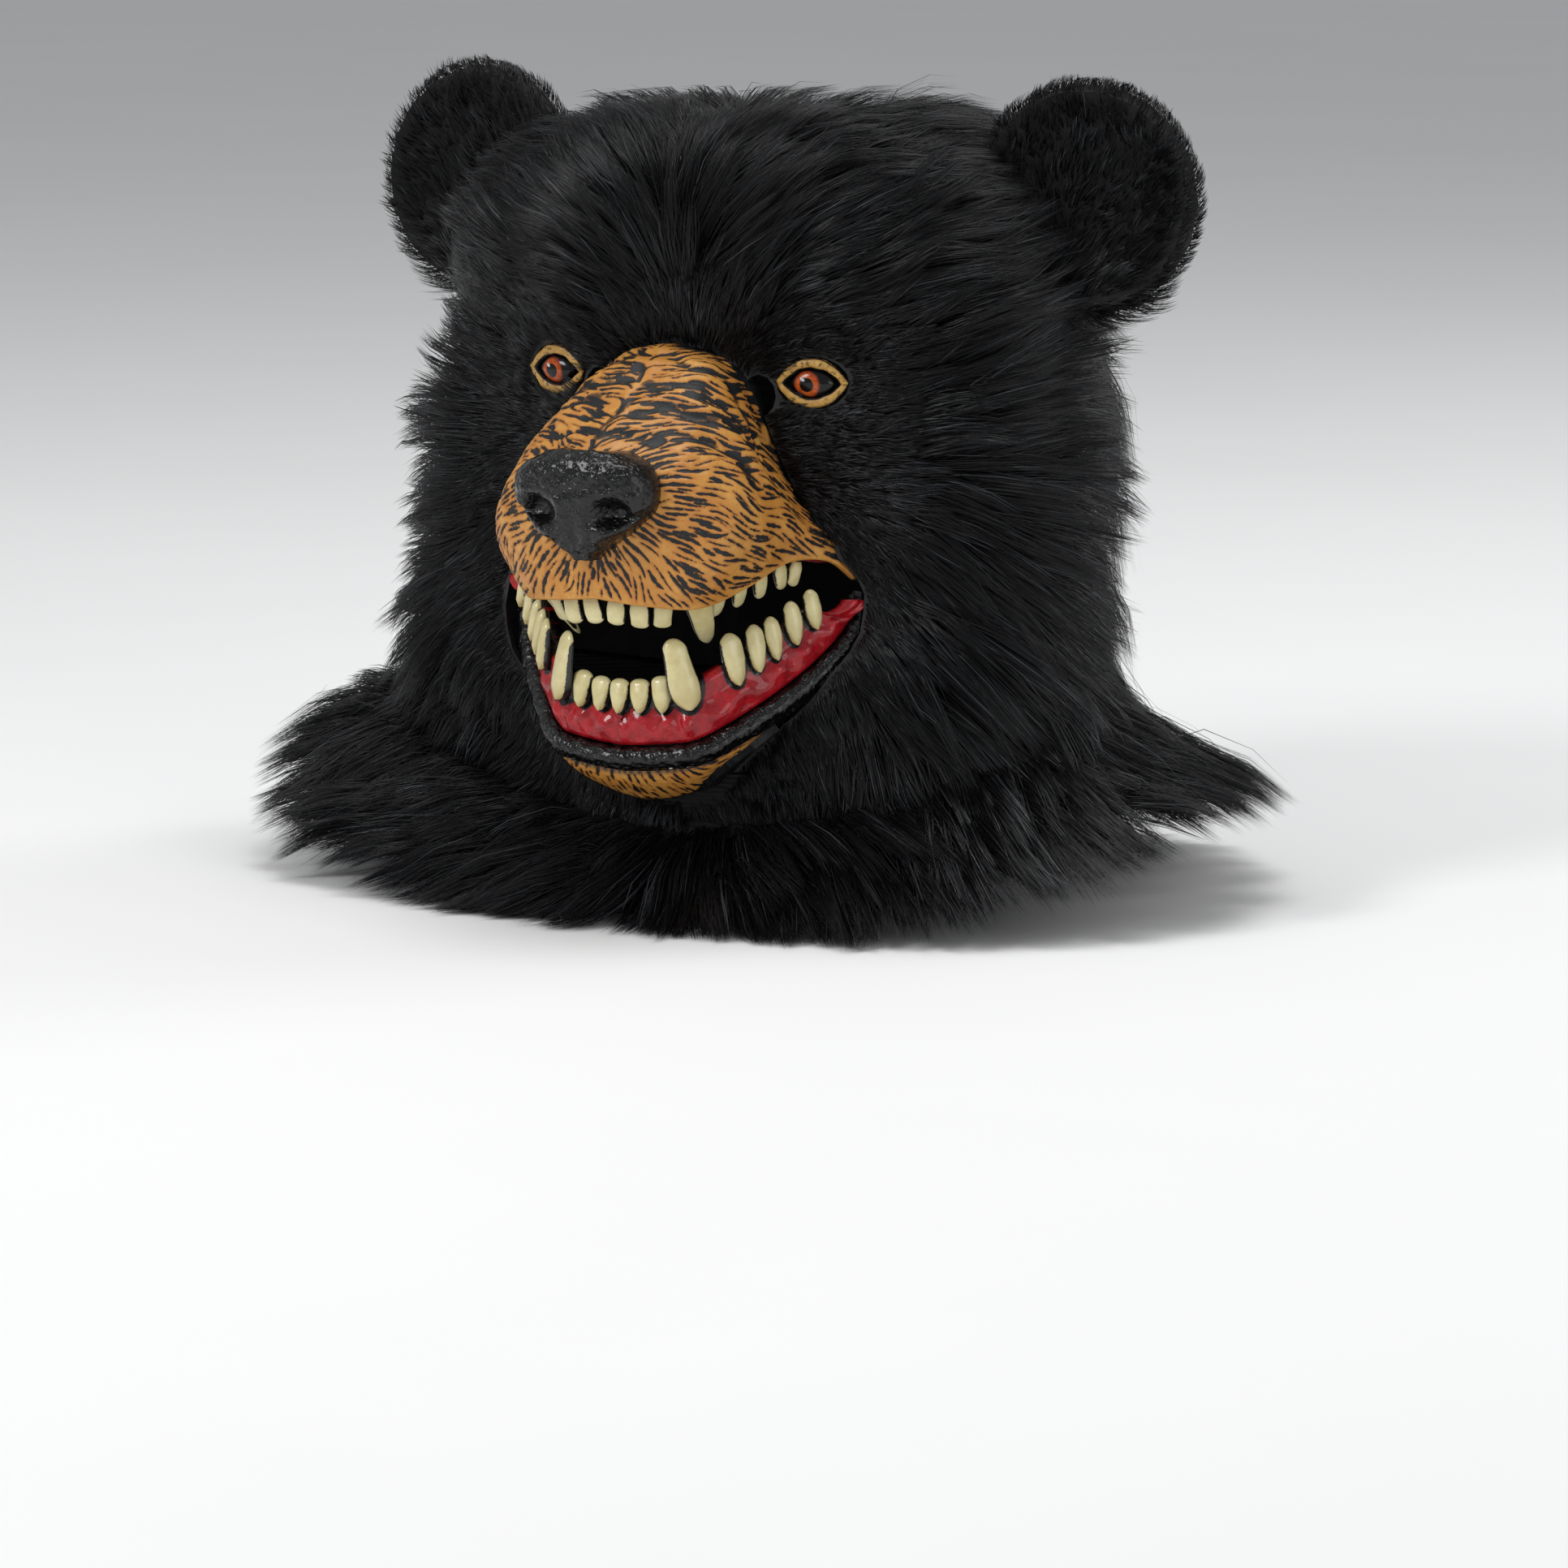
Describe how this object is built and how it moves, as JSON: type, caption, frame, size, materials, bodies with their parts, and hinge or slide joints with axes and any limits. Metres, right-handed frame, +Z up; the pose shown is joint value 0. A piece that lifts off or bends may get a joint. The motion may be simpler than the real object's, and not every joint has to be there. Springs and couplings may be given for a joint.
{
  "type": "bear mask",
  "caption": "Full-head bear mask: latex hood under black plush, long snout over open jaws with teeth, painted eyes, round ears and a fur ruff for the shoulders",
  "frame": {"origin": "the seat on the inside of the hood's crown, midway between left and right and above the wearer's ears, where the head carries the mask", "axes": "+Z up, -Y the way the face looks, +X the mask's own left"},
  "size_m": [0.4076, 0.325, 0.305],
  "materials": {
    "black_latex": "matt, the hood's inside",
    "black_cloth": "knitted backing",
    "black_fur": "long acrylic plush pile with a soft grey sheen",
    "tan_latex": "satin paint on carved latex, with dark hair strokes in its grooves",
    "nose_black": "glossy black paint on pebbled latex",
    "gum_red": "glossy red paint on lumpy latex",
    "tooth_cream": "cream paint under a satin gloss, outlined in black",
    "lid_ochre": "satin ochre paint with dark specks",
    "eye_paint": "painted iris under clear gloss"
  },
  "bodies": {
    "root": {"latex_head": "black_latex", "hood_fur": "black_fur", "skirt_backing": "black_cloth", "skirt_fur": "black_fur", "ear_left": "black_fur", "ear_right": "black_fur", "muzzle": "tan_latex", "nose_pad": "nose_black", "chin": "tan_latex", "lower_lip": "nose_black", "upper_gum": "gum_red", "lower_gum": "gum_red", "upper_tooth_01": "tooth_cream", "upper_tooth_02": "tooth_cream", "upper_tooth_03": "tooth_cream", "upper_tooth_04": "tooth_cream", "upper_tooth_05": "tooth_cream", "upper_tooth_06": "tooth_cream", "upper_tooth_07": "tooth_cream", "upper_tooth_08": "tooth_cream", "upper_tooth_09": "tooth_cream", "upper_tooth_10": "tooth_cream", "upper_tooth_11": "tooth_cream", "upper_tooth_12": "tooth_cream", "upper_tooth_13": "tooth_cream", "upper_tooth_14": "tooth_cream", "upper_tooth_15": "tooth_cream", "upper_tooth_16": "tooth_cream", "upper_tooth_17": "tooth_cream", "upper_tooth_18": "tooth_cream", "lower_tooth_01": "tooth_cream", "lower_tooth_02": "tooth_cream", "lower_tooth_03": "tooth_cream", "lower_tooth_04": "tooth_cream", "lower_tooth_05": "tooth_cream", "lower_tooth_06": "tooth_cream", "lower_tooth_07": "tooth_cream", "lower_tooth_08": "tooth_cream", "lower_tooth_09": "tooth_cream", "lower_tooth_10": "tooth_cream", "lower_tooth_11": "tooth_cream", "lower_tooth_12": "tooth_cream", "lower_tooth_13": "tooth_cream", "lower_tooth_14": "tooth_cream", "lower_tooth_15": "tooth_cream", "lower_tooth_16": "tooth_cream", "lower_tooth_17": "tooth_cream", "eyeball_left": "eye_paint", "eyeball_right": "eye_paint", "eyelid_left": "lid_ochre", "eyelid_right": "lid_ochre"}
  },
  "joints": []
}
